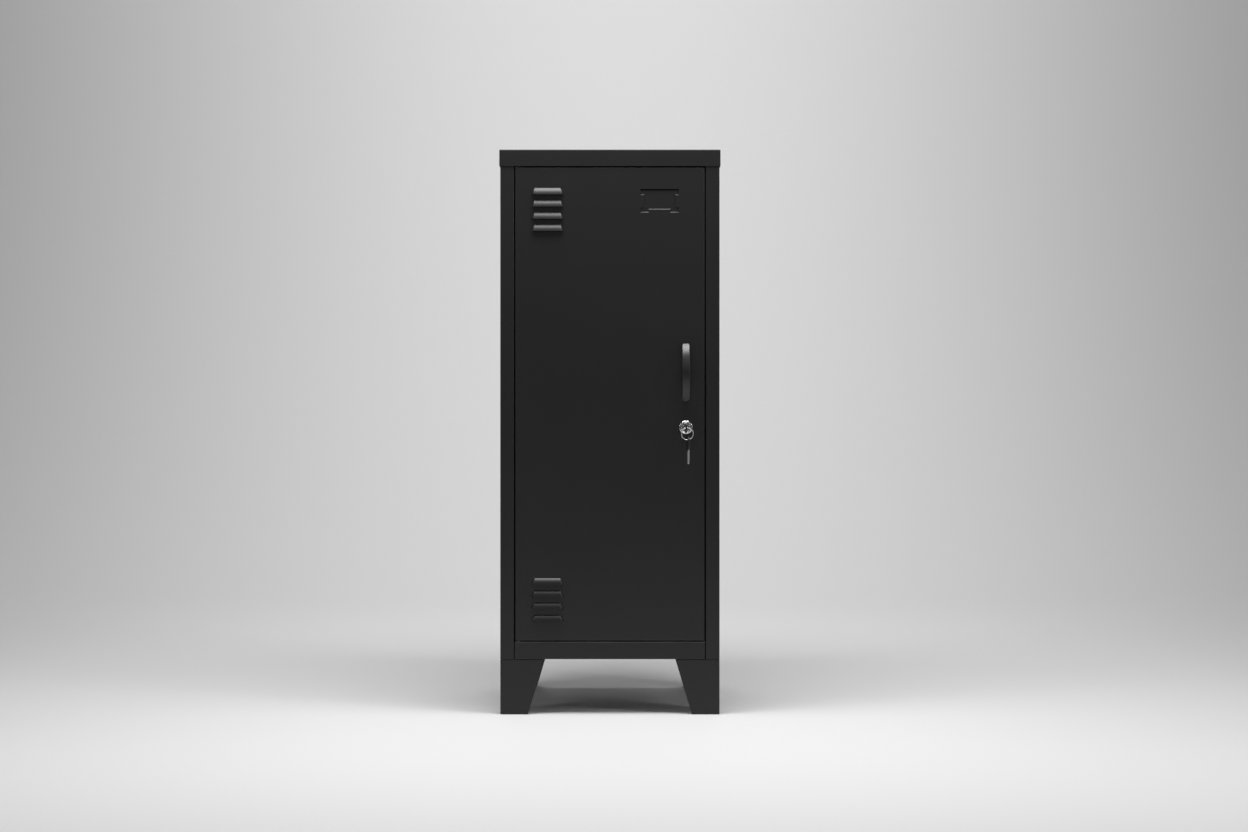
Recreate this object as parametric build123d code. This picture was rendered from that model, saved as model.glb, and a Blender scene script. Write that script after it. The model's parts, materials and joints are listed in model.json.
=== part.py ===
from build123d import *
import math
import os

# A folded-steel storage locker: one louvred door, two shelves, a cam lock with two keys, and four feet.
#
# Millimetres, +Z up, the door faces -Y. The origin is on the floor, under the middle of the whole outline.
# Every piece is built from the body's front plane (y = 0 there), and main() moves it to the origin's frame.

# ---- Overall size ----
lid_width = 400.0
lid_depth = 400.0
overall_height = 1022.0
foot_height = 100.0
lid_skirt = 30.0

# ---- Sheet metal ----
sheet = 0.8
bend_inside = 0.8
bend_outside = bend_inside + sheet
lid_play = 0.8  # between the lid's skirt and the body, all round
seam = 0.2  # between two sheets that lie edge to edge
moving_gap = 0.35  # the least gap between faces that move past each other
past = 1.0  # how far a cut runs past the face it cuts, or a joined volume into its neighbour
tolerance = 0.01  # for picking edges and corners by their place

# ---- Front frame ----
post_width = 25.0
rail_height = 31.5
rail_gap = 1.4  # between each end of the rail under the door and the post beside it
stop_gap = 3.0  # between the closed door and the stops, filled by the rubber buffers
stop_width = 10.0
rear_flange = 20.0
header_lip = 10.0
side_foot_flange = 25.0
bead_depth = 2.0
bead_width = 12.0
bead_slope = 1.8

# ---- Door ----
door_gap = 2.0
door_thickness = 18.0
door_return = 12.0
stiffener_width = 70.0
stiffener_rim = 12.0
stiffener_end = 60.0  # from the stiffener's end to the door's end

# ---- Louvres: two groups of hoods, open underneath ----
louvre_count = 4
louvre_pitch = 22.0
louvre_straight = 46.0
louvre_height = 12.0
louvre_depth = 5.6
louvre_bulge = 1.1
louvre_inset = 58.5  # from the door's hinge edge to the middle of a hood
louvre_top_margin = 37.5
louvre_bottom_margin = 35.0

# ---- Card holder: a pressed recess, open along its top, with three tabs left at the door's face ----
card_width = 70.0
card_height = 42.5
card_recess = 1.7
card_slope = 1.6
card_inset = 81.5  # from the door's latch edge to the middle of the recess
card_top_margin = 39.5
card_side_tab = 6.0
card_side_tab_height = 21.0
card_side_tab_drop = 11.0  # from the recess's top edge to the side tabs' top
card_bottom_tab = 37.5
card_bottom_tab_height = 5.5
card_slot = 1.6  # the height of the slit that the card goes in by

# ---- Pull handle ----
latch_inset = 34.0  # from the door's latch edge to the middle of the handle and the lock
handle_middle_height = 619.0
handle_spacing = 96.0
handle_end = 5.0  # from a screw's axis to the handle's end
handle_width = 14.0
handle_reach = 28.0
handle_thickness = 5.5
handle_heel = 6.0  # how far a foot stands off the door before the bow begins
handle_heel_draft = 1.0
handle_bend = 2.5  # where a heel turns into the bow
handle_edge_radius = 1.4
handle_screw = 4.0
handle_screw_bite = 5.5
handle_screw_end_play = 1.0

# ---- Cam lock ----
lock_height = 519.5
lock_rim = 24.4
lock_rim_thickness = 3.6
lock_rim_wall = 1.4  # the rim's straight side, below its rounded crown
lock_dish = 17.0
lock_dish_depth = 1.3
lock_dish_slope = 0.6
lock_barrel = 19.0
lock_flats = 16.0
plug_diameter = 13.0
plug_head = 14.6
plug_head_length = 2.0
plug_head_edge = 0.4
plug_proud = 0.5  # how far the plug stands out of the dish
plug_square = 8.0
nut_across = 25.0
nut_thickness = 3.0
cam_gap = 0.6  # between the door stop's back and the cam
cam_thickness = 2.0
cam_width = 16.0
cam_reach = 36.0
cam_corner = 4.8
cam_washer_diameter = 14.0
cam_washer_thickness = 1.0
cam_screw = 5.0
cam_screw_bite = 4.5
cam_screw_end_play = 0.7
cam_screw_head = 9.0
cam_screw_head_height = 3.0

# ---- Keys and ring ----
key_thickness = 2.2
key_cover_thickness = 3.2
key_cover_wall = 2.0
key_bow_width = 18.0
key_bow_length = 23.5
key_bow_corner = 7.0
key_neck_length = 4.0
key_neck_margin = 0.8  # how far the neck stands out beyond each edge of the blade
key_blade_width = 7.6
key_hole = 7.0
key_hole_margin = 5.8  # from the bow's end to the hole's middle
key_hole_margin_inside = 0.8  # the steel bow's hole is this much larger in radius than the cover's
key_cuts = (0.0, 1.3, 2.0, 0.9, 1.7)  # depth of each cut, from the neck to the tip
key_first_cut = 0.75  # where the first cut's middle lies, in cut pitches from the shoulder
key_cut_half = 0.7  # a cut's half width, as a share of its depth
key_tip = 2.5
key_tip_flat = 0.3  # the tip's flat end, as a share of the blade's width
key_groove_width = 1.6
key_groove_depth = 0.35
key_groove_height = 0.95  # from the blade's middle line to the groove's middle
key_cover_edge = 0.6
keyway_end_play = 0.6
keyway_wall = 0.75  # between the keyway's end and the cam screw's hole
ring_middle_radius = 10.5
ring_wire = 1.4
ring_overlap = 0.08  # how far its two turns run into each other, as a share of the wire
ring_drop = 1.2  # from the middle of a key's hole to the wire's middle
ring_shift = 1.9  # how far right of the lock's axis the ring's middle hangs
spare_key_shift = 3.5  # how far right of the lock's axis the spare key hangs
spare_key_turn = 192.5  # degrees about its own length, so that its cuts face forward

# ---- Hinge ----
pivot_inset = 5.5  # from the door's edge and face to the pivot
pin_diameter = 5.0
pin_play = 0.08  # radial, between parts that turn or slide in each other
bush_flange = 9.2
bush_body = 8.0
bush_length = 4.0
bush_play = 0.35  # between a bush's flange and the door
pin_head = 7.2
pin_head_thickness = 3.0
upper_pin_engagement = 8.0
upper_pin_length = 52.0
upper_pin_arm = 16.0
upper_pin_bend = 5.0
upper_pin_edge = 0.6
bracket_plate = 1.2
bracket_length = 32.0
bracket_reach = 12.5
bracket_depth = 9.0
bracket_offset = 4.0  # from the door's top to the bracket's top
collar_diameter = 7.0
collar_thickness = 1.2
collar_drop = 3.0  # from the bracket's upper ear to the collar
spring_wire = 0.7
spring_mean = 6.4
spring_turns = 6

# ---- Shelves ----
upright_width = 20.0
upright_depth = 8.0
upright_inset = 40.0  # from the front plane, and from the back plane, to an upright
upright_top_gap = 30.0  # from an upright's top to the lid
slot_width = 12.0
slot_height = 4.0
slot_pitch = 50.0
slot_margin = 45.0
shelf_slots = (4, 10)  # which slot, counted from the floor, carries each shelf
shelf_skirt = 18.0
shelf_play = 1.0
shelf_front_gap = 6.0  # from the door stops' back to a shelf
clip_width = 10.0
clip_thickness = 1.6
clip_reach = 14.0
clip_hook = 6.0

# ---- Feet ----
foot_top_width = 80.0
foot_bottom_width = 50.0
foot_sheet = 1.5
foot_bend_outside = 2.1
foot_rebate_height = 1.2  # the step under the body that shows as a dark seam
foot_rebate_depth = 1.0
foot_top_chamfer = 58.0
foot_bottom_chamfer = 34.0

# ---- Fasteners ----
head_round = 0.45  # a screw head's rounding, as a share of its height
recess_floor = 0.45  # what is left under its cross recess, as a share of its height
recess_arm = 0.27  # the recess's half length, as a share of the head's diameter
recess_slit = 0.07  # the recess's half width, as a share of the head's diameter
panel_screw = 4.0
panel_screw_head = 8.0
panel_screw_head_height = 2.4
panel_screw_length = 8.0
foot_bolt = 6.0
foot_bolt_head = 12.0
foot_bolt_head_height = 3.4
foot_bolt_length = 14.0
foot_nut_across = 10.0
foot_nut_height = 5.0
foot_bolt_margin = 20.0  # from the end of a foot's top plate to its bolt
hole_play = 0.15  # added to a screw's radius
back_screw_margin = 70.0
wall_hole = 6.5
wall_hole_spacing = 240.0
wall_hole_drop = 50.0  # from the lid's top to the wall holes
buffer_diameter = 8.0
buffer_play = 0.35
buffer_margin = 120.0

# ---- Places worked out from the sizes above ----
body_half = lid_width / 2 - sheet - lid_play
body_depth = lid_depth - 2 * (sheet + lid_play)
lid_underside = overall_height - sheet
skirt_bottom = overall_height - lid_skirt
rail_top = foot_height + rail_height
post_inner = body_half - post_width
side_inner = body_half - sheet
back_front = body_depth - 2 * sheet  # the back panel's front face
return_flange = door_thickness  # the frame's narrow flanges end level with the door's back
stop_front = door_thickness + stop_gap
stop_back = stop_front + sheet
stop_inner = post_inner - stop_width
tongue_back = stop_front - bend_inside - seam  # where a tongue between the posts ends

door_half = post_inner - door_gap
door_bottom = rail_top + door_gap
door_top = skirt_bottom - door_gap
pivot_x = -door_half + pivot_inset
pivot_y = pivot_inset

louvre_x = -door_half + louvre_inset
upper_louvres = [door_top - louvre_top_margin - louvre_height - i * louvre_pitch for i in range(louvre_count)]
lower_louvres = [door_bottom + louvre_bottom_margin + i * louvre_pitch for i in range(louvre_count)]

latch_x = door_half - latch_inset
handle_screw_heights = [handle_middle_height + sign * handle_spacing / 2 for sign in (-1, 1)]
handle_seats = [(latch_x, sheet, z) for z in handle_screw_heights]
cam_front = stop_back + cam_gap
lock_front = -lock_rim_thickness
plug_front = lock_front + lock_dish_depth - plug_proud
cam_back = cam_front + cam_thickness
cam_hole_end = cam_back - cam_screw_bite - cam_screw_end_play
keyway_end = cam_hole_end - keyway_wall

key_shoulder = plug_front - moving_gap
key_blade_length = keyway_end - keyway_end_play - key_shoulder
bow_start = key_shoulder - key_neck_length
bow_end = bow_start - key_bow_length
ring_y = bow_end + key_hole_margin
ring_top_z = lock_height - ring_drop
ring_middle_z = ring_top_z - math.sqrt(ring_middle_radius**2 - ring_shift**2)
ring_bottom_z = ring_middle_z - math.sqrt(ring_middle_radius**2 - (spare_key_shift - ring_shift) ** 2)
spare_hole_z = ring_bottom_z - ring_drop

upper_pin_top = door_top + upper_pin_engagement
bracket_top = door_top - sheet - bracket_offset
bracket_bottom = bracket_top - bracket_length
collar_top = bracket_top - bracket_plate - collar_drop
spring_bottom = bracket_bottom + bracket_plate
spring_top = collar_top - collar_thickness

upright_top = overall_height - upright_top_gap
upright_face = side_inner - upright_depth
upright_starts = (upright_inset, body_depth - upright_inset - upright_width)
slot_first = rail_top + slot_margin
slot_count = int((upright_top - slot_first - slot_margin / 2) // slot_pitch) + 1
slot_heights = [slot_first + i * slot_pitch for i in range(slot_count)]
shelf_half = upright_face - shelf_play
shelf_front = stop_back + shelf_front_gap
shelf_back = back_front - shelf_play
shelf_bottoms = [slot_heights[i] + clip_thickness for i in shelf_slots]

lid_screw_places = [sign * x for x in (body_half - rear_flange / 2, body_half / 3) for sign in (-1, 1)]
lid_screw_z = skirt_bottom + lid_skirt / 2
side_screw_x = body_half - rear_flange / 2
side_screw_heights = [
    rail_top + back_screw_margin,
    (rail_top + skirt_bottom) / 2,
    skirt_bottom - back_screw_margin,
]
tray_screw_z = foot_height + rail_height / 2
wall_hole_z = overall_height - wall_hole_drop
foot_side_bolt = (body_half - side_foot_flange / 2, foot_top_width - foot_bolt_margin)
foot_front_bolt = (body_half - foot_top_width + foot_bolt_margin, (return_flange + bend_outside) / 2)

most_forward = key_bow_width / 2 - ring_y  # the hanging key stands out furthest
outline_back = body_depth + sheet + lid_play + panel_screw_head_height
origin_y = (outline_back - most_forward) / 2


# ---- Building blocks ----
def block(x, y, z):
    """A box from three (low, high) pairs."""
    size = [b - a for a, b in (x, y, z)]
    middle = [(a + b) / 2 for a, b in (x, y, z)]
    return Pos(*middle) * Box(*size)


def mirrored(shape):
    """The shape's other hand, across the locker's middle plane."""
    return mirror(shape, about=Plane.YZ)


def both_sides(shape):
    """The shape and its mirror image, as one node's solids."""
    return shape + mirrored(shape)


def bent_sheet(path, plane, start, length):
    """A folded sheet: the path is its outer face, and the sheet lies on the path's left."""
    radii = []
    for a, b, c in zip(path, path[1:], path[2:]):
        turn = (b[0] - a[0]) * (c[1] - b[1]) - (b[1] - a[1]) * (c[0] - b[0])
        radii.append(bend_outside if turn > 0 else bend_inside)
    face_line = FilletPolyline(*path, radius=radii)
    section = make_face(offset(face_line, sheet, side=Side.LEFT))
    return extrude(plane.offset(start) * section, length)


def along_x(path, x_low, x_high):
    """A folded sheet whose (y, z) section runs along X."""
    return bent_sheet(path, Plane.YZ, x_low, x_high - x_low)


def along_z(path, z_low, z_high):
    """A folded sheet whose (x, y) section runs along Z."""
    return bent_sheet(path, Plane.XY, z_low, z_high - z_low)


def pan(x, y, z, open_toward, wall=sheet, outer_radius=bend_outside):
    """A folded pan: a thin-walled box with rounded folds, open toward an axis such as (0, 0, -1)."""
    closed_end = Axis((0, 0, 0), tuple(-c for c in open_toward))
    outer = block(x, y, z)
    outer = fillet(outer.faces().sort_by(closed_end)[-1].edges(), outer_radius)
    ranges = []
    for (low, high), toward in zip((x, y, z), open_toward):
        ranges.append((low + wall - (toward < 0) * 2 * wall, high - wall + (toward > 0) * 2 * wall))
    inner = block(*ranges)
    inner = fillet(inner.faces().sort_by(closed_end)[-1].edges(), outer_radius - wall)
    return outer - inner


def rod(radius, low, high):
    """A cylinder from one point to another."""
    a, b = Vector(*low), Vector(*high)
    plane = Plane(origin=a, z_dir=b - a)
    return extrude(plane * Circle(radius), (b - a).length)


def turned(section):
    """A solid turned about the lock's axis: the section is (radius, distance out of the door)."""
    solid = revolve(Plane.XZ * section, Axis.Z)
    return Pos(latch_x, 0, lock_height) * (Rot(90, 0, 0) * solid)


def pan_screw(diameter, length, head, head_height, seat, direction):
    """A pan-head screw with a cross recess. seat is the middle of the face under its head."""
    shank = Pos(0, 0, length / 2) * Cylinder(diameter / 2, length)
    cap = Pos(0, 0, -head_height / 2) * Cylinder(head / 2, head_height)
    cap = fillet(cap.edges().group_by(Axis.Z)[0], head_height * head_round)
    recess_z = (-head_height, -head_height * recess_floor)
    arm, slit = head * recess_arm, head * recess_slit
    for cross in (
        block((-arm, arm), (-slit, slit), recess_z),
        block((-slit, slit), (-arm, arm), recess_z),
    ):
        cap -= cross
    return Plane(origin=seat, z_dir=direction) * (cap + shank)


def hex_nut(across, height, bore, seat, direction):
    """A hexagonal nut that stands on its seat."""
    body = extrude(RegularPolygon(across / 2, 6, major_radius=False), height)
    body -= Pos(0, 0, height / 2) * Cylinder(bore / 2, height * 2)
    return Plane(origin=seat, z_dir=direction) * body


def holes(places, radius, direction, depth):
    """Cylinders to cut, each centred on its place."""
    return [Plane(origin=p, z_dir=direction) * Cylinder(radius, depth) for p in places]


def group(solids):
    """Several loose solids as one node."""
    return Compound(children=list(solids))


# ---- Frame ----
def lid():
    """The top panel, whose skirt caps the body on all four sides."""
    half = lid_width / 2
    front = -(sheet + lid_play)
    shape = pan((-half, half), (front, front + lid_depth), (skirt_bottom, overall_height), (0, 0, -1))
    seats = [(x, front + lid_depth, lid_screw_z) for x in lid_screw_places]
    for hole in holes(seats, panel_screw / 2 + hole_play, (0, 1, 0), 4 * sheet):
        shape -= hole
    return shape


def left_side_panel():
    """One sheet folded into the side, the front post, the door stop and the rear flange."""
    path = [
        (-body_half + rear_flange, body_depth),
        (-body_half, body_depth),
        (-body_half, 0),
        (-post_inner, 0),
        (-post_inner, stop_front),
        (-stop_inner, stop_front),
    ]
    shape = along_z(path, foot_height, lid_underside)
    flange_y = (stop_back + return_flange, body_depth - rear_flange - return_flange)
    shape += block(
        (-side_inner, -body_half + side_foot_flange),
        flange_y,
        (foot_height, foot_height + sheet),
    )
    for y in (foot_side_bolt[1], body_depth - foot_side_bolt[1]):
        bolt = (-foot_side_bolt[0], y, foot_height)
        for hole in holes([bolt], foot_bolt / 2 + hole_play, (0, 0, 1), 4 * sheet):
            shape -= hole
    rear = [(-side_screw_x, body_depth, z) for z in [*side_screw_heights, lid_screw_z]]
    for hole in holes(rear, panel_screw / 2 + hole_play, (0, 1, 0), 4 * sheet):
        shape -= hole
    return shape


def right_side_panel():
    """The left panel's other hand."""
    return mirrored(left_side_panel())


def back_panel():
    """A flat sheet behind the shelves, with two holes for fixing to a wall and two stiffening beads."""
    half = side_inner - bend_inside - seam
    shape = block((-half, half), (back_front, back_front + sheet), (foot_height, lid_underside))
    bead_z = (rail_top + back_screw_margin, wall_hole_z - back_screw_margin)
    for x in (-body_half / 3, body_half / 3):
        bead_x = (x - bead_width / 2, x + bead_width / 2)
        outer = block(bead_x, (back_front, back_front + bead_depth), bead_z)
        outer = chamfer(outer.faces().sort_by(Axis.Y)[-1].edges(), bead_slope)
        hollow = Pos(0, -sheet, 0) * outer
        shape = shape + outer - hollow
    fixings = [(sign * side_screw_x, body_depth, z) for z in side_screw_heights for sign in (-1, 1)]
    fixings += [(x, body_depth, lid_screw_z) for x in lid_screw_places]
    fixings += [(sign * body_half / 3, body_depth, tray_screw_z) for sign in (-1, 1)]
    for hole in holes(fixings, panel_screw / 2 + hole_play, (0, 1, 0), 4 * sheet):
        shape -= hole
    wall = [(sign * wall_hole_spacing / 2, body_depth, wall_hole_z) for sign in (-1, 1)]
    for hole in holes(wall, wall_hole / 2, (0, 1, 0), 4 * sheet):
        shape -= hole
    return shape


def header_rail():
    """The channel behind the lid's front skirt, which holds the upper hinge and stops the door's top."""
    lip_bottom = skirt_bottom - header_lip
    front = [(return_flange, lid_underside), (0, lid_underside), (0, skirt_bottom)]
    middle = along_x([*front, (stop_front, skirt_bottom), (stop_front, lip_bottom)], -stop_inner, stop_inner)
    end = along_x([*front, (tongue_back, skirt_bottom)], stop_inner, post_inner)
    shape = middle + end + mirrored(end)
    bush = (pivot_x, pivot_y, skirt_bottom)
    for hole in holes([bush], bush_body / 2, (0, 0, 1), 4 * sheet):
        shape -= hole
    return shape


def bottom_tray():
    """The floor, whose front fold is the rail under the door. Its width steps in between the posts."""
    back = [
        (back_front - return_flange, foot_height),
        (back_front, foot_height),
        (back_front, rail_top),
    ]
    front = [(0, rail_top), (0, foot_height), (return_flange, foot_height)]
    clear_of_stop = stop_back + seam
    narrow, wide = stop_inner - seam, side_inner - seam
    rail_half = post_inner - rail_gap
    shape = along_x([*back, *front], -narrow, narrow)
    behind = along_x([*back, (clear_of_stop, rail_top)], narrow, wide)
    tongue = along_x([(tongue_back, rail_top), *front], narrow, rail_half)
    skirt = block((wide - sheet, wide), (clear_of_stop, back_front), (rail_top - return_flange, rail_top))
    shape = shape + both_sides(behind + tongue + skirt)
    for x in (-1, 1):
        for y in (foot_front_bolt[1], body_depth - foot_front_bolt[1]):
            seat = (x * foot_front_bolt[0], y, foot_height)
            for hole in holes([seat], foot_bolt / 2 + hole_play, (0, 0, 1), 4 * sheet):
                shape -= hole
    rear = [(sign * body_half / 3, back_front, tray_screw_z) for sign in (-1, 1)]
    for hole in holes(rear, panel_screw / 2 + hole_play, (0, 1, 0), 4 * sheet):
        shape -= hole
    bush = (pivot_x, pivot_y, rail_top)
    for hole in holes([bush], bush_body / 2, (0, 0, 1), 4 * sheet):
        shape -= hole
    return shape


def upright(y_low):
    """A slotted channel on the left side panel. The shelf clips hook into its slots."""
    x_wall, x_face = -side_inner, -upright_face
    y_high = y_low + upright_width
    path = [(x_wall, y_low), (x_face, y_low), (x_face, y_high), (x_wall, y_high)]
    shape = along_z(path, rail_top, upright_top)
    middle = y_low + upright_width / 2
    slots = [
        block(
            (x_face - 2 * sheet, x_face + sheet),
            (middle - slot_width / 2, middle + slot_width / 2),
            (z, z + slot_height),
        )
        for z in slot_heights
    ]
    return shape - slots


# ---- Shelves ----
def shelf(bottom):
    """A folded shelf that rests on its clips."""
    return pan(
        (-shelf_half, shelf_half), (shelf_front, shelf_back), (bottom, bottom + shelf_skirt), (0, 0, -1)
    )


def shelf_clip(y_low, z):
    """A bent clip through one slot: a ledge under the shelf and a hook behind the upright's face."""
    middle = y_low + upright_width / 2
    width = (middle - clip_width / 2, middle + clip_width / 2)
    behind = -upright_face - sheet - seam
    ledge = block((behind - clip_thickness, -upright_face + clip_reach), width, (z, z + clip_thickness))
    hook = block((behind - clip_thickness, behind), width, (z - clip_hook, z))
    return ledge + hook


def shelf_clips(slot):
    """The four clips of one shelf."""
    clips = [shelf_clip(y, slot_heights[slot]) for y in upright_starts]
    return group([*clips, *[mirrored(c) for c in clips]])


# ---- Feet ----
def front_left_foot():
    """A folded angle that tapers downward, with a plate at its top and bottom."""
    top, bottom, height = foot_top_width, foot_bottom_width, foot_height
    taper = [(0, 0), (bottom, 0), (top, height), (0, height)]
    face = make_face(Polyline(*taper, close=True))
    across = extrude(Plane(origin=(0, 0, 0), x_dir=(1, 0, 0), z_dir=(0, -1, 0)) * face, -top)
    deep = extrude(Plane(origin=(0, 0, 0), x_dir=(0, 1, 0), z_dir=(1, 0, 0)) * face, top)
    shape = across & deep
    side, front = shape.faces().sort_by(Axis.X)[0], shape.faces().sort_by(Axis.Y)[0]
    folds = side.edges().filter_by(Axis.Y) + side.edges().filter_by(Axis.Z) + front.edges().filter_by(Axis.X)
    shape = fillet(folds, foot_bend_outside)
    hollow = block((foot_sheet, 2 * top), (foot_sheet, 2 * top), (foot_sheet, height - foot_sheet))
    inner_fold = hollow.edges().filter_by(Axis.Z).sort_by_distance(Vector(0, 0, height / 2))[0]
    shape -= fillet(inner_fold, foot_bend_outside - foot_sheet)
    rebate = (-past, foot_rebate_depth)
    rebate_z = (height - foot_rebate_height, height + past)
    shape -= block(rebate, (-past, top + past), rebate_z) + block((-past, top + past), rebate, rebate_z)
    shape -= corner_cut(top, foot_top_chamfer, height - 2 * foot_sheet)
    shape -= corner_cut(bottom, foot_bottom_chamfer, -foot_sheet)
    shape = Pos(-body_half, 0, 0) * shape
    seats = [
        (-foot_side_bolt[0], foot_side_bolt[1], foot_height),
        (-foot_front_bolt[0], foot_front_bolt[1], foot_height),
    ]
    for hole in holes(seats, foot_bolt / 2 + hole_play, (0, 0, 1), 4 * foot_sheet):
        shape -= hole
    return shape


def corner_cut(size, reach, z_low):
    """Takes the inner corner off one of a foot's two square plates, which are 'size' across."""
    far, near = 2 * foot_top_width, size - reach
    outline = [(far, far), (far, near), (size, near), (near, size), (near, far)]
    corner = make_face(Polyline(*outline, close=True))
    return extrude(Plane.XY.offset(z_low) * corner, 3 * foot_sheet)


def to_rear(shape):
    """A front foot's, bolt's or nut's place at the back of the locker."""
    return mirror(shape, about=Plane.XZ.offset(-body_depth / 2))


def foot_bolts():
    """Two bolts up through each foot's top plate."""
    bolts = [
        pan_screw(foot_bolt, foot_bolt_length, foot_bolt_head, foot_bolt_head_height,
                  (-x, y, foot_height - foot_sheet), (0, 0, 1))
        for x, y in (foot_side_bolt, foot_front_bolt)
    ]
    return at_all_feet(bolts)


def foot_nuts():
    """The nut of each foot bolt."""
    nuts = [
        hex_nut(foot_nut_across, foot_nut_height, foot_bolt + 2 * hole_play,
                (-x, y, foot_height + sheet), (0, 0, 1))
        for x, y in (foot_side_bolt, foot_front_bolt)
    ]
    return at_all_feet(nuts)


def at_all_feet(solids):
    """Front-left solids repeated at all four feet."""
    left = [*solids, *[to_rear(s) for s in solids]]
    return group([*left, *[mirrored(s) for s in left]])


# ---- Door ----
def louvre_section(shrink):
    """A hood's side view: a slope from its lip back to the door's face, bulging slightly."""
    depth, height = louvre_depth - shrink, louvre_height - shrink
    slope = Line((depth, 0), (0, height))
    bulge = slope @ 0.5 + louvre_bulge * Vector(height, depth).normalized()
    arc = ThreePointArc((depth, 0), bulge, (0, height))
    return make_face(arc + Line((0, height), (0, 0)) + Line((0, 0), (depth, 0)))


def louvre_form(x, z, shrink):
    """A hood's outer form, or its hollow when shrunk by the sheet, with a quarter dome at each end."""
    half = louvre_straight / 2
    section = louvre_section(shrink)
    side_view = Plane(origin=(-half, 0, 0), x_dir=(0, -1, 0), z_dir=(-1, 0, 0))
    straight = extrude(side_view * section, -2 * half)
    end = Pos(half, 0, 0) * revolve(Plane.XZ * section, Axis.Z, -90)
    return Pos(x, 0, z) * (straight + both_sides(end))


def louvre_window(x, z):
    """The skin's opening behind a hood."""
    half, height = louvre_straight / 2, louvre_height - sheet
    end = Pos(half, 0) * louvre_section(sheet)
    outline = Pos(0, height / 2) * Rectangle(2 * half, height) + end + mirror(end, about=Plane.YZ)
    front = Plane(origin=(x, 0, z), x_dir=(1, 0, 0), z_dir=(0, -1, 0))
    return extrude(front * outline, -2 * sheet)


def card_outline(grow):
    """The recess's outline about the middle of its top edge, notched by the tabs, and grown all round."""
    half = card_width / 2 + grow
    side = card_width / 2 - card_side_tab + grow
    side_top = -card_side_tab_drop - grow
    side_bottom = -card_side_tab_drop - card_side_tab_height + grow
    bottom = -card_height - grow
    middle = card_bottom_tab / 2 - grow
    middle_top = -card_height + card_bottom_tab_height - grow
    right = [
        (half, grow),
        (half, side_top),
        (side, side_top),
        (side, side_bottom),
        (half, side_bottom),
        (half, bottom),
        (middle, bottom),
        (middle, middle_top),
    ]
    left = [(-x, z) for x, z in reversed(right)]
    return make_face(Polyline(*right, *left, close=True))


def card_form(grow, y_front, y_back):
    """The recess as a solid that narrows toward the back by its slope."""
    narrowing = card_slope * (y_back - y_front) / card_recess
    faces = []
    for y, outline in ((y_front, card_outline(grow)), (y_back, card_outline(grow - narrowing))):
        place = (door_half - card_inset, y, door_top - card_top_margin)
        faces.append(Plane(origin=place, x_dir=(1, 0, 0), z_dir=(0, -1, 0)) * outline)
    return loft(faces, ruled=True)


def door_panel():
    """The folded door: skin, four edges and a return flange, with louvres and a card holder pressed in."""
    shape = pan((-door_half, door_half), (0, door_thickness), (door_bottom, door_top), (0, 1, 0))
    rear = (door_thickness - sheet, door_thickness)
    rim = block((-door_half + sheet, door_half - sheet), rear, (door_bottom + sheet, door_top - sheet))
    inside = block(
        (-door_half + door_return, door_half - door_return),
        (0, 2 * door_thickness),
        (door_bottom + door_return, door_top - door_return),
    )
    shape += rim - inside
    for z in [*upper_louvres, *lower_louvres]:
        shape += louvre_form(louvre_x, z, 0)
        shape -= louvre_form(louvre_x, z, sheet)
        shape -= louvre_window(louvre_x, z)
    shape = press_card_holder(shape)
    return drill_door(shape)


def press_card_holder(shape):
    """Presses the card recess into the skin, and slits it along its top."""
    shape += card_form(sheet, sheet / 2, card_recess + sheet)
    shape -= card_form(0, 0, card_recess)
    x, z = door_half - card_inset, door_top - card_top_margin
    slit_x = (x - card_width / 2, x + card_width / 2)
    return shape - block(slit_x, (0, card_recess + 2 * sheet), (z - card_slot, z))


def drill_door(shape):
    """The door's holes: lock, handle screws, and the two hinge pins."""
    shape -= barrel_volume(hole_play, -past, sheet + past)
    for hole in holes(handle_seats, handle_screw / 2 + hole_play, (0, 1, 0), 4 * sheet):
        shape -= hole
    for z, play in ((door_bottom, hole_play), (door_top, moving_gap)):
        for hole in holes([(pivot_x, pivot_y, z)], pin_diameter / 2 + play, (0, 0, 1), 4 * sheet):
            shape -= hole
    return shape


def door_stiffener():
    """A hat-section channel behind the skin, down the middle of the door."""
    half, rim = stiffener_width / 2, stiffener_rim
    depth = door_thickness - 2 * sheet
    path = [
        (-half, 2 * sheet),
        (-half + rim, 2 * sheet),
        (-half + rim, depth),
        (half - rim, depth),
        (half - rim, 2 * sheet),
        (half, 2 * sheet),
    ]
    return along_z(path[::-1], door_bottom + stiffener_end, door_top - stiffener_end)


def handle_profile(half, heel, reach):
    """The bow's side view as one line: a short heel, an arc out over the middle, and a heel."""
    start, end = (-heel, -half + handle_heel_draft), (-heel, half - handle_heel_draft)
    arc = ThreePointArc(start, (-reach, 0), end)
    return Line((0, -half), start) + arc + Line(end, (0, half))


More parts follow.
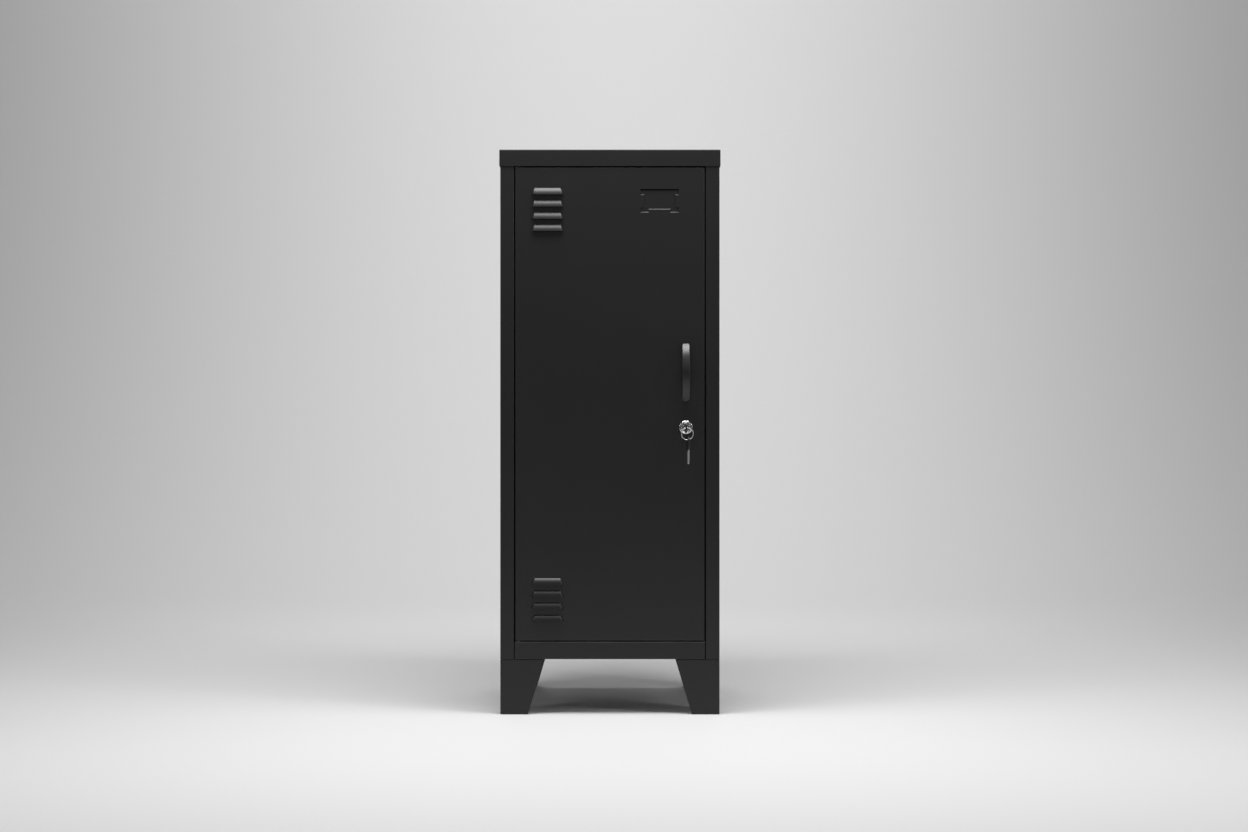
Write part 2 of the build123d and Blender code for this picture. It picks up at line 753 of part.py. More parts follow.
def pull_handle():
    """A bow handle: a strap that arches out from the door, with round ends and softened edges."""
    half, foot = handle_spacing / 2 + handle_end, 2 * handle_end
    outer = handle_profile(half, handle_heel, handle_reach)
    inner = handle_profile(half - foot, handle_heel / 2, handle_reach - handle_thickness)
    feet = Line((0, half), (0, half - foot)) + Line((0, -half), (0, -half + foot))
    section = make_face(outer + inner + feet)
    bends = section.vertices().filter_by(lambda v: v.X < -tolerance)
    section = fillet(bends, handle_bend)
    strap = extrude(Plane.YZ.offset(-handle_width / 2) * section, handle_width)
    rims = strap.edges().filter_by(lambda e: abs(abs(e.center().X) - handle_width / 2) < tolerance)
    rims = rims.filter_by(lambda e: e.center().Y < -tolerance)
    strap = fillet(rims, handle_edge_radius)
    outline = SlotOverall(2 * half, handle_width, rotation=90)
    front = Plane(origin=(0, 0, 0), x_dir=(1, 0, 0), z_dir=(0, -1, 0))
    strap &= extrude(front * outline, handle_reach + past)
    strap = Pos(latch_x, 0, handle_middle_height) * strap
    depth = 2 * (handle_screw_bite + handle_screw_end_play)
    seats = [(latch_x, 0, z) for z in handle_screw_heights]
    for hole in holes(seats, handle_screw / 2 + pin_play, (0, 1, 0), depth):
        strap -= hole
    return strap


def handle_screws():
    """The two screws from behind the skin into the handle's feet."""
    length = handle_screw_bite + sheet
    return group(
        pan_screw(handle_screw, length, panel_screw_head, panel_screw_head_height, seat, (0, -1, 0))
        for seat in handle_seats
    )


# ---- Lock ----
def lock_point(y):
    """A point on the lock's axis."""
    return (latch_x, y, lock_height)


def lock_block(half_width, half_height, y_low, y_high):
    """A box about the lock's axis."""
    x = (latch_x - half_width, latch_x + half_width)
    return block(x, (y_low, y_high), (lock_height - half_height, lock_height + half_height))


def barrel_volume(play, y_low, y_high):
    """The lock's barrel with its two flats, grown by the play."""
    barrel = rod(lock_barrel / 2 + play, lock_point(y_low), lock_point(y_high))
    return barrel & lock_block(lock_flats / 2 + play, lock_barrel, y_low, y_high)


def lock_housing():
    """The lock's dished rim, and its barrel with two flats, bored for the plug."""
    rim, dish = lock_rim / 2, lock_dish / 2
    floor = lock_rim_thickness - lock_dish_depth
    dish_floor = floor - lock_dish_slope
    wall_top, crown, dish_edge = (rim, lock_rim_wall), ((rim + dish) / 2, lock_rim_thickness), (dish, floor)
    outside = Polyline((0, 0), (rim, 0), wall_top)
    inside = Polyline(dish_edge, (dish - lock_dish_slope, dish_floor), (0, dish_floor), (0, 0))
    shape = turned(make_face(outside + ThreePointArc(wall_top, crown, dish_edge) + inside))
    barrel_end = cam_front - moving_gap
    shape += barrel_volume(0, 0, barrel_end)
    shape -= rod(plug_diameter / 2 + pin_play, lock_point(lock_front - past), lock_point(barrel_end + past))
    head_back = plug_front + plug_head_length
    return shape - rod(plug_head / 2 + pin_play, lock_point(lock_front - past), lock_point(head_back))


def lock_plug():
    """The plug that the key turns, with its keyway and the square that drives the cam."""
    shape = rod(plug_diameter / 2, lock_point(plug_front), lock_point(cam_front - moving_gap))
    head = rod(plug_head / 2, lock_point(plug_front), lock_point(plug_front + plug_head_length - pin_play))
    shape += fillet(head.edges().group_by(Axis.Y)[0], plug_head_edge)
    shape += lock_block(plug_square / 2, plug_square / 2, cam_front - past, cam_back)
    keyway = (key_thickness / 2 + pin_play, key_blade_width / 2 + pin_play)
    shape -= lock_block(*keyway, plug_front - past, keyway_end)
    return shape - rod(cam_screw / 2 + pin_play, lock_point(cam_hole_end), lock_point(cam_back + past))


def lock_nut():
    """The nut that clamps the lock to the door's skin."""
    return hex_nut(nut_across, nut_thickness, lock_barrel + 2 * hole_play, lock_point(sheet), (0, 1, 0))


def lock_cam():
    """The cam, which points down while unlocked and turns behind the right-hand door stop."""
    half = cam_width / 2
    shape = block((-half, half), (0, cam_thickness), (-cam_reach, 0))
    shape = fillet(shape.edges().filter_by(Axis.Y).group_by(Axis.Z)[0], cam_corner)
    shape += rod(half, (0, 0, 0), (0, cam_thickness, 0))
    hole = plug_square / 2 + hole_play
    shape -= block((-hole, hole), (-past, cam_thickness + past), (-hole, hole))
    return Pos(latch_x, cam_front, lock_height) * shape


def cam_washer():
    """The washer between the cam and its screw."""
    washer_back = cam_back + cam_washer_thickness
    ring = rod(cam_washer_diameter / 2, lock_point(cam_back), lock_point(washer_back))
    return ring - rod(cam_screw / 2 + hole_play, lock_point(cam_back - past), lock_point(washer_back + past))


def cam_screw_part():
    """The screw that holds the cam on the plug."""
    seat = lock_point(cam_back + cam_washer_thickness)
    length = cam_washer_thickness + cam_screw_bite
    return pan_screw(cam_screw, length, cam_screw_head, cam_screw_head_height, seat, (0, -1, 0))


# ---- Keys ----
def bow_outline(inset):
    """The bow's outline in (y, z), drawn in from the cover's outside by the inset."""
    middle = Pos(-key_neck_length - key_bow_length / 2, 0)
    size = (key_bow_length - 2 * inset, key_bow_width - 2 * inset)
    return middle * RectangleRounded(*size, key_bow_corner - inset)


def bow_hole(extra):
    """The hole for the ring, widened by the extra radius."""
    return Pos(-key_neck_length - key_bow_length + key_hole_margin, 0) * Circle(key_hole / 2 + extra)


def key_neck():
    """The broad neck between a key's blade and its bow."""
    length = key_neck_length + key_cover_wall + past
    return Pos(-length / 2, 0) * Rectangle(length, key_blade_width + 2 * key_neck_margin)


def key_slab(outline, thickness):
    """A flat piece of a key, drawn in (y, z)."""
    return extrude(Plane.YZ.offset(-thickness / 2) * outline, thickness)


def key():
    """A flat steel key along Y: its shoulder is at the origin, the blade behind it, the bow in front."""
    cut_pitch = key_blade_length / (len(key_cuts) + 1)
    half, tip = key_blade_width / 2, key_blade_length
    lower = [(0, -half)]
    for i, depth in enumerate(key_cuts):
        middle, reach = cut_pitch * (i + key_first_cut), depth * key_cut_half
        if depth:
            lower += [(middle - reach, -half), (middle, -half + depth), (middle + reach, -half)]
    flat = half * key_tip_flat
    point = [(tip - key_tip, -half), (tip, -flat), (tip, flat), (tip - key_tip, half), (0, half)]
    blade = make_face(Polyline(*lower, *point, close=True))
    bow = bow_outline(key_cover_wall) - bow_hole(key_hole_margin_inside)
    shape = key_slab(blade + key_neck() + bow, key_thickness)
    z = (key_groove_height - key_groove_width / 2, key_groove_height + key_groove_width / 2)
    for side in (-1, 1):
        x = side * key_thickness / 2
        shape -= block((x - key_groove_depth, x + key_groove_depth), (key_neck_margin, tip + past), z)
    return shape


def key_cover():
    """The moulded cover that closes over a key's bow."""
    shape = key_slab(bow_outline(0), key_cover_thickness)
    half = key_cover_thickness / 2
    rims = shape.edges().filter_by(lambda e: abs(abs(e.center().X) - half) < tolerance)
    shape = fillet(rims, key_cover_edge)
    shape -= key_slab(bow_outline(key_cover_wall) + key_neck(), key_thickness)
    shape += key_slab(bow_hole(key_hole_margin_inside), key_thickness)
    return shape - key_slab(bow_hole(0), 2 * key_cover_thickness)


def inserted(shape):
    """A key or its cover, moved into the lock."""
    return Pos(latch_x, key_shoulder, lock_height) * shape


def hanging(shape):
    """A key or its cover, moved to hang from the ring with the blade down."""
    hole_to_shoulder = key_neck_length + key_bow_length - key_hole_margin
    upright_key = Rot(-90, 0, 0) * (Pos(0, hole_to_shoulder, 0) * shape)
    return Pos(latch_x + spare_key_shift, ring_y, spare_hole_z) * (Rot(0, 0, spare_key_turn) * upright_key)


def key_ring():
    """A split ring of two turns, through the bows of both keys."""
    half_pitch = ring_wire / 2 * (1 - ring_overlap)
    turns = [Pos(ring_middle_radius, y) * Circle(ring_wire / 2) for y in (-half_pitch, half_pitch)]
    ring = revolve(turns[0] + turns[1], Axis.Y)
    return Pos(latch_x + ring_shift, ring_y, ring_middle_z) * ring


# ---- Hinge ----
def pivot_rod(radius, z_low, z_high):
    """A cylinder on the hinge's axis."""
    return rod(radius, (pivot_x, pivot_y, z_low), (pivot_x, pivot_y, z_high))


def hinge_bush(z, direction):
    """A flanged nylon bush. z is the sheet's face that its flange lies on."""
    flange = pivot_rod(bush_flange / 2, z, z + direction * (door_gap - bush_play))
    shape = flange + pivot_rod(bush_body / 2, z, z - direction * bush_length)
    return shape - pivot_rod(pin_diameter / 2 + pin_play, z - 2 * bush_length, z + 2 * bush_length)


def lower_hinge_pin():
    """The fixed pin, headed inside the door's bottom edge."""
    head_seat = door_bottom + sheet
    shank = pivot_rod(pin_diameter / 2, rail_top - bush_length - past, head_seat)
    return shank + pivot_rod(pin_head / 2, head_seat, head_seat + pin_head_thickness)


def upper_hinge_pin():
    """The sprung pin, with an arm to pull it down when the door is lifted out."""
    low = upper_pin_top - upper_pin_length
    path = FilletPolyline(
        (pivot_x, pivot_y, upper_pin_top),
        (pivot_x, pivot_y, low),
        (pivot_x + upper_pin_arm, pivot_y, low),
        radius=upper_pin_bend,
    )
    section = Plane(origin=path @ 0, z_dir=path % 0) * Circle(pin_diameter / 2)
    pin = sweep(section, path=path)
    return chamfer(pin.edges().group_by(Axis.Z)[-1], upper_pin_edge)


def pin_collar():
    """The clip on the sprung pin that its spring pushes against."""
    collar = pivot_rod(collar_diameter / 2, spring_top, collar_top)
    return collar - pivot_rod(pin_diameter / 2, spring_top - past, collar_top + past)


def pin_bracket():
    """A channel on the door's hinge edge, whose two ears guide the sprung pin."""
    x_low = -door_half + sheet
    x = (x_low, x_low + bracket_reach)
    y_low = sheet + bend_inside + seam
    y = (y_low, y_low + bracket_depth)
    shape = block((x_low, x_low + sheet), y, (bracket_bottom, bracket_top))
    for z in (bracket_bottom, bracket_top - bracket_plate):
        shape += block(x, y, (z, z + bracket_plate))
    return shape - pivot_rod(pin_diameter / 2 + pin_play, bracket_bottom - past, bracket_top + past)


def pin_spring():
    """The spring that holds the upper pin out."""
    height = spring_top - spring_bottom - spring_wire
    helix = Helix(pitch=height / spring_turns, height=height, radius=spring_mean / 2)
    section = Plane(origin=helix @ 0, z_dir=helix % 0) * Circle(spring_wire / 2)
    coil = sweep(section, path=helix)
    return Pos(pivot_x, pivot_y, spring_bottom + spring_wire / 2) * coil


def door_buffers():
    """Rubber buffers on the latch-side door stop."""
    x = stop_inner + stop_width / 2
    heights = (door_bottom + buffer_margin, door_top - buffer_margin)
    return group(
        rod(buffer_diameter / 2, (x, stop_front, z), (x, door_thickness + buffer_play, z)) for z in heights
    )


# ---- Screws through the back ----
def panel_screw_at(seat):
    """One of the screws driven forward into the back of the frame."""
    head = (panel_screw_head, panel_screw_head_height)
    return pan_screw(panel_screw, panel_screw_length, *head, seat, (0, -1, 0))


def lid_screws():
    """The screws through the lid's rear skirt."""
    seat_y = body_depth + lid_play + sheet
    return group(panel_screw_at((x, seat_y, lid_screw_z)) for x in lid_screw_places)


def back_screws():
    """Screws through the side panels' rear flanges, and two through the back into the tray."""
    seats = [(sign * side_screw_x, body_depth, z) for z in side_screw_heights for sign in (-1, 1)]
    seats += [(sign * body_half / 3, body_depth - sheet, tray_screw_z) for sign in (-1, 1)]
    return group(panel_screw_at(seat) for seat in seats)


def sub_parts():
    """Every node's name and shape."""
    front, rear = upright_starts
    front_foot = front_left_foot()
    return {
        "lid": lid(),
        "left_side_panel": left_side_panel(),
        "right_side_panel": right_side_panel(),
        "back_panel": back_panel(),
        "header_rail": header_rail(),
        "bottom_tray": bottom_tray(),
        "front_left_upright": upright(front),
        "rear_left_upright": upright(rear),
        "front_right_upright": mirrored(upright(front)),
        "rear_right_upright": mirrored(upright(rear)),
        "lower_shelf": shelf(shelf_bottoms[0]),
        "upper_shelf": shelf(shelf_bottoms[1]),
        "lower_shelf_clips": shelf_clips(shelf_slots[0]),
        "upper_shelf_clips": shelf_clips(shelf_slots[1]),
        "front_left_foot": front_foot,
        "front_right_foot": mirrored(front_foot),
        "rear_left_foot": to_rear(front_foot),
        "rear_right_foot": mirrored(to_rear(front_foot)),
        "foot_bolts": foot_bolts(),
        "foot_nuts": foot_nuts(),
        "lid_screws": lid_screws(),
        "back_screws": back_screws(),
        "lower_hinge_bush": hinge_bush(rail_top, 1),
        "upper_hinge_bush": hinge_bush(skirt_bottom, -1),
        "door_buffers": door_buffers(),
        "door_panel": door_panel(),
        "door_stiffener": door_stiffener(),
        "pull_handle": pull_handle(),
        "handle_screws": handle_screws(),
        "lower_hinge_pin": lower_hinge_pin(),
        "pin_bracket": pin_bracket(),
        "pin_spring": pin_spring(),
        "lock_housing": lock_housing(),
        "lock_nut": lock_nut(),
        "upper_hinge_pin": upper_hinge_pin(),
        "pin_collar": pin_collar(),
        "lock_plug": lock_plug(),
        "lock_cam": lock_cam(),
        "cam_washer": cam_washer(),
        "cam_screw": cam_screw_part(),
        "inserted_key": inserted(key()),
        "inserted_key_cover": inserted(key_cover()),
        "key_ring": key_ring(),
        "spare_key": hanging(key()),
        "spare_key_cover": hanging(key_cover()),
    }


def main():
    os.makedirs("parts", exist_ok=True)
    to_origin = Pos(0, -origin_y, 0)
    for name, shape in sub_parts().items():
        export_step(to_origin * shape, f"parts/{name}.step")


if __name__ == "__main__":
    main()
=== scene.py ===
import json
import math

import bmesh
import bpy
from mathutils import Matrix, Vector


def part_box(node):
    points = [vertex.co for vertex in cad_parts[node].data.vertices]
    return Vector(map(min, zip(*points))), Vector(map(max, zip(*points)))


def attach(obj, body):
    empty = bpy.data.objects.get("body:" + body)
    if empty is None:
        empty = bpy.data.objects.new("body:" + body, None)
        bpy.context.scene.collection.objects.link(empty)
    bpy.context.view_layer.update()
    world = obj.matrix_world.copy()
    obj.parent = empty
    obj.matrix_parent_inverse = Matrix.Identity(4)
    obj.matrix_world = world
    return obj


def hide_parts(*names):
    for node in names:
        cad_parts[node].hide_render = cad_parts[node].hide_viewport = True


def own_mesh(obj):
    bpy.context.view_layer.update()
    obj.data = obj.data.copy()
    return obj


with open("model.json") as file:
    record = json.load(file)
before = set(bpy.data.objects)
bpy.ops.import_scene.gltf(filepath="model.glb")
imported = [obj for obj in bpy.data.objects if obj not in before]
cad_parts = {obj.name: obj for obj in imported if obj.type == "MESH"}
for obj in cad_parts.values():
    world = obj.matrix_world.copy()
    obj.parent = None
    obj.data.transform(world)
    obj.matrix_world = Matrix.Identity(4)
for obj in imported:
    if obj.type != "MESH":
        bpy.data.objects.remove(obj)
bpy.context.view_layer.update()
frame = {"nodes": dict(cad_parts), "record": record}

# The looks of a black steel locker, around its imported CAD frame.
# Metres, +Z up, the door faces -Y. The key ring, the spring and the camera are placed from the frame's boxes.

# ---- Camera, in metres ----
CAMERA_DISTANCE = 3.70  # from the door's face
CAMERA_HEIGHT = 0.540
CAMERA_RIGHT = 0.0255  # to the right of the locker's middle
LENS_MM = 59.0
SENSOR_MM = 36.0

# ---- Light: name, place, target, width and height in metres, watts ----
LIGHTS = (
    ("overhead", (0.0, -0.50, 1.95), (0.0, -0.44, 0.0), 1.5, 0.7, 40),
    ("left_side", (-1.9, -1.2, 1.3), (-0.3, -0.2, 0.5), 0.3, 1.0, 5),
    ("right_side", (1.9, -1.2, 1.3), (0.3, -0.2, 0.5), 0.3, 1.0, 8),
    ("high_front", (0.0, -4.5, 1.8), (0.0, 0.0, 0.9), 4.5, 0.7, 5),
    ("backdrop_wash", (0.0, 1.3, 3.0), (0.0, 4.2, 1.4), 1.8, 1.0, 69),
)
WORLD_STRENGTH = 0.06

# ---- Coat ----
COAT_BLACK = (0.0052, 0.0052, 0.0056)
COAT_LIGHTER = 1.12  # the coat's pale patches, against its black
COAT_DUST = 2.6  # the dust in its grain, against its black
COAT_RUBBED = (0.06, 0.06, 0.06)
COAT_ROUGHNESS = (0.41, 0.435)

# ---- Key ring ----
RING_TURNS = 2
RING_STEPS = 96  # points in a turn
RING_START = math.pi * 0.55
RING_CROSSING = 0.12  # the part of a turn over which the wire crosses
RING_CLOSENESS = 0.97  # the turns' offset, against the wire's radius
RING_WIRE = 0.99  # the wire's own radius, against the room for it

# ---- Hinge pin's spring ----
SPRING_WIRE_RADIUS = 0.00035
SPRING_TURNS = 7
SPRING_STEPS = 28  # points in a turn
SPRING_EASE = 0.05  # how much closer its end turns lie

# ---- Paper sweep ----
PAPER_HALF_WIDTH = 7.0
PAPER_FRONT = -6.0
PAPER_BACK = 4.2
PAPER_HEIGHT = 6.0
PAPER_RADIUS = 2.2
PAPER_STEPS = 24  # strips in its curve
PAPER_WHITE = ((0.80, 0.80, 0.80), (0.82, 0.82, 0.82))


# ---- Material building blocks ----
def new_material(name):
    """A node material: its tree, its shader, and object coordinates in metres."""
    material = bpy.data.materials.new(name)
    material.use_nodes = True
    tree = material.node_tree
    shader = tree.nodes["Principled BSDF"]
    coordinates = tree.nodes.new("ShaderNodeTexCoord")
    return material, tree, shader, coordinates.outputs["Object"]


def noise(tree, coordinates, size, detail=2.0, roughness=0.5, stretch=(1, 1, 1)):
    """A noise whose features are about this many metres across, stretched along an axis if asked."""
    mapping = tree.nodes.new("ShaderNodeMapping")
    mapping.inputs["Scale"].default_value = [1 / (size * s) for s in stretch]
    tree.links.new(coordinates, mapping.inputs["Vector"])
    texture = tree.nodes.new("ShaderNodeTexNoise")
    texture.inputs["Scale"].default_value = 1.0
    texture.inputs["Detail"].default_value = detail
    texture.inputs["Roughness"].default_value = roughness
    tree.links.new(mapping.outputs["Vector"], texture.inputs["Vector"])
    return texture.outputs["Fac"]


def remap(tree, value, low, high, to_low, to_high):
    """The value's range low to high, taken to another range."""
    node = tree.nodes.new("ShaderNodeMapRange")
    for name, number in (("From Min", low), ("From Max", high), ("To Min", to_low), ("To Max", to_high)):
        node.inputs[name].default_value = number
    tree.links.new(value, node.inputs["Value"])
    return node.outputs["Result"]


def spread(tree, value, low, high):
    """A noise's usual span, taken to a range."""
    return remap(tree, value, 0.3, 0.7, low, high)


def mix_colour(tree, factor, first, second):
    """A blend of two colours, each a plain colour or another node's output."""
    node = tree.nodes.new("ShaderNodeMix")
    node.data_type = "RGBA"
    tree.links.new(factor, node.inputs["Factor"])
    for socket, colour in ((node.inputs["A"], first), (node.inputs["B"], second)):
        if isinstance(colour, tuple):
            socket.default_value = (*colour, 1.0)
        else:
            tree.links.new(colour, socket)
    return node.outputs["Result"]


def bumps(tree, shader, layers):
    """Stacks bump layers, each (height, distance in metres, strength), into the shader's normal."""
    previous = None
    for height, distance, strength in layers:
        node = tree.nodes.new("ShaderNodeBump")
        node.inputs["Distance"].default_value = distance
        node.inputs["Strength"].default_value = strength
        tree.links.new(height, node.inputs["Height"])
        if previous:
            tree.links.new(previous, node.inputs["Normal"])
        previous = node.outputs["Normal"]
    tree.links.new(previous, shader.inputs["Normal"])


# ---- Materials ----
def powder_coat():
    """Black powder coat: orange peel, a fine grain, a trace of dust and a few rubbed specks."""
    material, tree, shader, place = new_material("powder_coat")
    cloud = noise(tree, place, 0.22, detail=2)
    grain = noise(tree, place, 0.0008, detail=2, roughness=0.6)
    peel = noise(tree, place, 0.0032, detail=1)
    speck = remap(tree, noise(tree, place, 0.0017, detail=1), 0.74, 0.80, 0, 0.25)
    lighter = tuple(c * COAT_LIGHTER for c in COAT_BLACK)
    dust = tuple(c * COAT_DUST for c in COAT_BLACK)
    base = mix_colour(tree, spread(tree, cloud, 0, 1), COAT_BLACK, lighter)
    base = mix_colour(tree, remap(tree, grain, 0.35, 0.75, 0, 0.35), base, dust)
    base = mix_colour(tree, speck, base, COAT_RUBBED)
    tree.links.new(base, shader.inputs["Base Color"])
    tree.links.new(spread(tree, cloud, *COAT_ROUGHNESS), shader.inputs["Roughness"])
    shader.inputs["Specular IOR Level"].default_value = 0.5
    bumps(tree, shader, [(peel, 0.0004, 0.08), (grain, 0.00012, 0.16)])
    return material


def satin_coat():
    """The handle's smoother, deeper black."""
    material, tree, shader, place = new_material("handle_coat")
    cloud = noise(tree, place, 0.02, detail=3)
    peel = noise(tree, place, 0.0022, detail=1)
    dark, light = (0.010, 0.010, 0.011), (0.016, 0.016, 0.017)
    base = mix_colour(tree, spread(tree, cloud, 0, 1), dark, light)
    tree.links.new(base, shader.inputs["Base Color"])
    tree.links.new(spread(tree, cloud, 0.30, 0.37), shader.inputs["Roughness"])
    bumps(tree, shader, [(peel, 0.0003, 0.07)])
    return material


def metal(name, dark, light, low, high, size=0.0012, stretch=(1, 1, 1), depth=0.00006):
    """Bare or plated metal, with fine lines along one way and small tonal change."""
    material, tree, shader, place = new_material(name)
    lines = noise(tree, place, size, detail=4, roughness=0.65, stretch=stretch)
    stain = noise(tree, place, 0.006, detail=2)
    base = mix_colour(tree, spread(tree, stain, 0, 1), dark, light)
    tree.links.new(base, shader.inputs["Base Color"])
    shader.inputs["Metallic"].default_value = 1.0
    tree.links.new(spread(tree, lines, low, high), shader.inputs["Roughness"])
    bumps(tree, shader, [(lines, depth, 0.25)])
    return material


def moulded(name, dark, light, low, high):
    """Moulded plastic or rubber with a fine sparked grain."""
    material, tree, shader, place = new_material(name)
    grain = noise(tree, place, 0.0006, detail=2)
    tone = noise(tree, place, 0.004, detail=2)
    base = mix_colour(tree, spread(tree, tone, 0, 1), dark, light)
    tree.links.new(base, shader.inputs["Base Color"])
    tree.links.new(spread(tree, tone, low, high), shader.inputs["Roughness"])
    bumps(tree, shader, [(grain, 0.00008, 0.35)])
    return material


def grey(level):
    """A neutral colour."""
    return level, level, level


def make_materials():
    """One material for each of the record's slots."""
    return {
        "powder_coat": powder_coat(),
        "handle_coat": satin_coat(),
        "chrome": metal("chrome", (0.80, 0.80, 0.81), (0.88, 0.88, 0.89), 0.14, 0.22, depth=0.00002),
        "key_steel": metal("key_steel", (0.72, 0.70, 0.66), (0.84, 0.82, 0.79), 0.30, 0.45, stretch=(1, 1, 6)),
        "zinc": metal("zinc", (0.52, 0.53, 0.55), (0.66, 0.67, 0.68), 0.28, 0.45),
        "spring_steel": metal("spring_steel", (0.30, 0.30, 0.31), (0.42, 0.42, 0.43), 0.25, 0.4),
        "key_plastic": moulded("key_plastic", grey(0.008), grey(0.014), 0.42, 0.55),
        "nylon": moulded("nylon", grey(0.010), grey(0.018), 0.4, 0.5),
        "rubber": moulded("rubber", grey(0.016), grey(0.026), 0.7, 0.85),
    }


def paint_nodes(materials):
    """Gives every CAD node its slot's material."""
    for part in frame["record"]["subparts"]:
        node = frame["nodes"][part["node"]]
        material = materials[part["material_slot"]]
        if not node.data.materials:
            node.data.materials.append(material)
        for slot in node.material_slots:
            slot.material = material


# ---- Pieces built here ----
def wire(name, points, radius, material, body, sides=10):
    """A round wire along points, capped at both ends, that rides on a body."""
    mesh = bpy.data.meshes.new(name)
    builder = bmesh.new()
    rings = []
    away = Vector((0.3, 0.2, 1.0))  # a direction that no stretch of these wires runs along
    for i, point in enumerate(points):
        before, after = points[max(i - 1, 0)], points[min(i + 1, len(points) - 1)]
        along = (after - before).normalized()
        side = along.cross(away).normalized()
        other = along.cross(side)
        ring = []
        for k in range(sides):
            turn = 2 * math.pi * k / sides
            outward = math.cos(turn) * side + math.sin(turn) * other
            ring.append(builder.verts.new(point + radius * outward))
        rings.append(ring)
    for first, second in zip(rings, rings[1:]):
        for k in range(sides):
            n = (k + 1) % sides
            builder.faces.new((first[k], second[k], second[n], first[n]))
    builder.faces.new(rings[0])
    builder.faces.new(reversed(rings[-1]))
    bmesh.ops.recalc_face_normals(builder, faces=builder.faces)
    builder.to_mesh(mesh)
    builder.free()
    for face in mesh.polygons:
        face.use_smooth = len(face.vertices) == 4
    piece = bpy.data.objects.new(name, mesh)
    bpy.context.scene.collection.objects.link(piece)
    mesh.materials.append(material)
    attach(piece, body)
    return piece


def split_ring(material):
    """The key ring as it is made: two turns of wire side by side, with a cross-over between them."""
    low, high = (Vector(corner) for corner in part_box("key_ring"))
    centre = (low + high) / 2
    wire_radius = (high.y - low.y) / 4
    ring_radius = (high.x - low.x) / 2 - wire_radius
    points = []
    for i in range(RING_TURNS * RING_STEPS + 1):
        share = i / RING_STEPS
        angle = 2 * math.pi * share + RING_START
        ramp = min(max((share - 1) / RING_CROSSING + 0.5, 0), 1)
        ramp = ramp * ramp * (3 - 2 * ramp)
        offset = (2 * ramp - 1) * wire_radius * RING_CLOSENESS
        points.append(centre + Vector((math.cos(angle) * ring_radius, offset, math.sin(angle) * ring_radius)))
    piece = wire("split_ring", points, wire_radius * RING_WIRE, material, "ring")
    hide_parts("key_ring")


def coil_spring(material):
    """The hinge pin's spring, coiled to fill the frame's spring box; the real one shortens as the pin is drawn
    down, this one keeps its length.
    """
    low, high = (Vector(corner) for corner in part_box("pin_spring"))
    centre = (low + high) / 2
    coil_radius = (high.x - low.x) / 2 - SPRING_WIRE_RADIUS
    bottom, top = low.z + SPRING_WIRE_RADIUS, high.z - SPRING_WIRE_RADIUS
    points = []
    for i in range(SPRING_TURNS * SPRING_STEPS + 1):
        share = i / (SPRING_TURNS * SPRING_STEPS)
        eased = share - math.sin(2 * math.pi * share) * SPRING_EASE
        angle = 2 * math.pi * SPRING_TURNS * share
        points.append(Vector((
            centre.x + math.cos(angle) * coil_radius,
            centre.y + math.sin(angle) * coil_radius,
            bottom + (top - bottom) * eased,
        )))
    piece = wire("coil_spring", points, SPRING_WIRE_RADIUS, material, "door", sides=8)
    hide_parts("pin_spring")
    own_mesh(piece)


# ---- Stage ----
def stage_material():
    """White studio paper with a faint fibre."""
    material, tree, shader, place = new_material("studio_paper")
    fibre = noise(tree, place, 0.004, detail=3)
    base = mix_colour(tree, spread(tree, fibre, 0, 1), *PAPER_WHITE)
    tree.links.new(base, shader.inputs["Base Color"])
    shader.inputs["Roughness"].default_value = 0.75
    bumps(tree, shader, [(fibre, 0.0002, 0.05)])
    return material


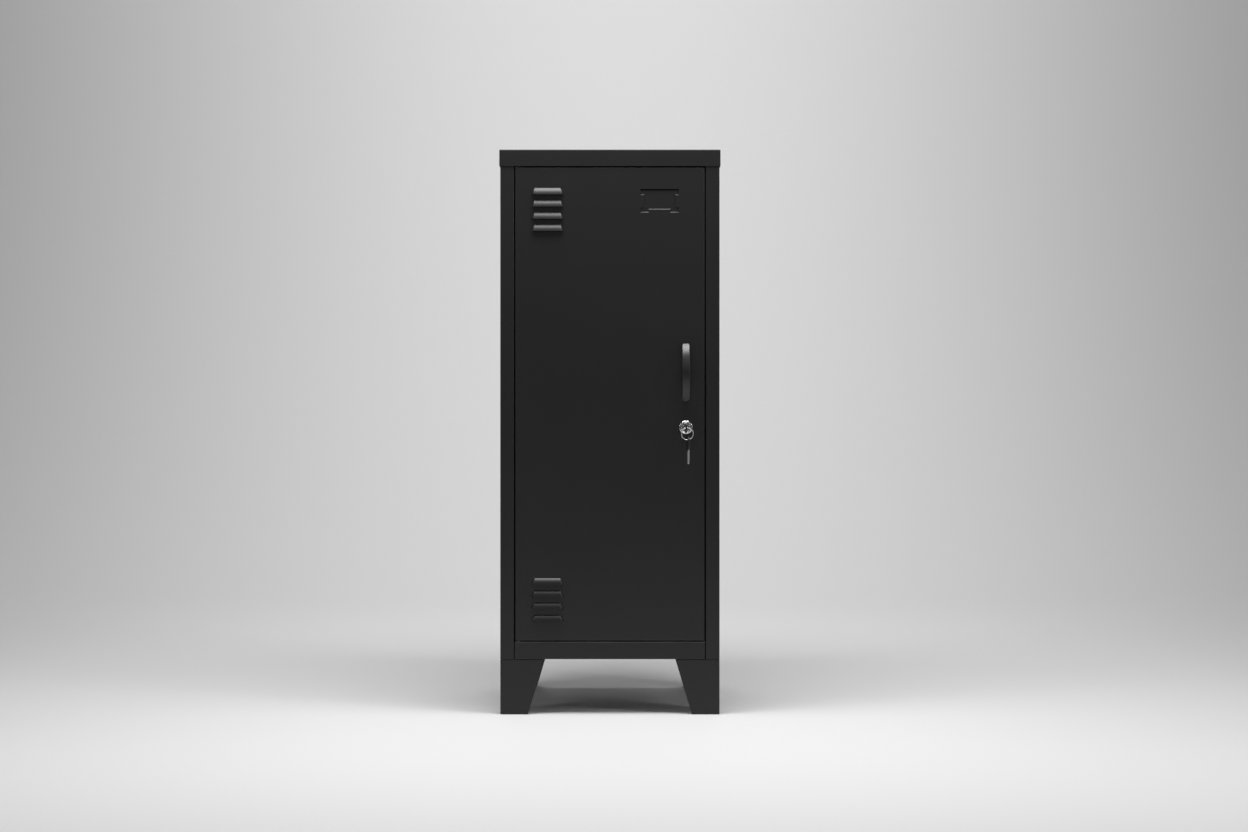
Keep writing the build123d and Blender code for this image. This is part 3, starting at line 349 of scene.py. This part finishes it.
def sweep():
    """A pale paper sweep: a floor that curves up into a wall far behind the locker."""
    line = [(PAPER_FRONT, 0.0)]
    for i in range(PAPER_STEPS + 1):
        angle = math.pi / 2 * i / PAPER_STEPS
        y = PAPER_BACK - PAPER_RADIUS + PAPER_RADIUS * math.sin(angle)
        line.append((y, PAPER_RADIUS - PAPER_RADIUS * math.cos(angle)))
    line.append((PAPER_BACK, PAPER_HEIGHT))
    mesh = bpy.data.meshes.new("paper_sweep")
    vertices = [(x, y, z) for y, z in line for x in (-PAPER_HALF_WIDTH, PAPER_HALF_WIDTH)]
    faces = [(2 * i, 2 * i + 1, 2 * i + 3, 2 * i + 2) for i in range(len(line) - 1)]
    mesh.from_pydata(vertices, [], faces)
    for face in mesh.polygons:
        face.use_smooth = True
    floor = bpy.data.objects.new("paper_sweep", mesh)
    bpy.context.scene.collection.objects.link(floor)
    mesh.materials.append(stage_material())


def softbox(name, place, target, width, height, watts):
    """A rectangular area light that faces a target."""
    data = bpy.data.lights.new(name, "AREA")
    data.shape = "RECTANGLE"
    data.size, data.size_y = width, height
    data.energy = watts
    lamp = bpy.data.objects.new(name, data)
    lamp.location = place
    lamp.rotation_euler = (Vector(target) - Vector(place)).to_track_quat("-Z", "Y").to_euler()
    bpy.context.scene.collection.objects.link(lamp)


def lights():
    """The softboxes, and a weak even light from all round."""
    for light in LIGHTS:
        softbox(*light)
    world = bpy.data.worlds.new("studio")
    bpy.context.scene.world = world
    world.use_nodes = True
    background = world.node_tree.nodes["Background"]
    background.inputs["Color"].default_value = (1.0, 1.0, 1.0, 1.0)
    background.inputs["Strength"].default_value = WORLD_STRENGTH


def camera():
    """The camera, level and straight on, a little to the right of the locker's middle."""
    low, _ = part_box("left_side_panel")
    data = bpy.data.cameras.new("camera")
    data.lens, data.sensor_width = LENS_MM, SENSOR_MM
    data.sensor_fit = "HORIZONTAL"
    view = bpy.data.objects.new("camera", data)
    view.location = (CAMERA_RIGHT, low[1] - CAMERA_DISTANCE, CAMERA_HEIGHT)
    view.rotation_euler = (math.pi / 2, 0, 0)
    bpy.context.scene.collection.objects.link(view)
    bpy.context.scene.camera = view


materials = make_materials()
paint_nodes(materials)
split_ring(materials["key_steel"])
coil_spring(materials["spring_steel"])
sweep()
lights()
camera()
bpy.context.scene.view_settings.view_transform = "Standard"
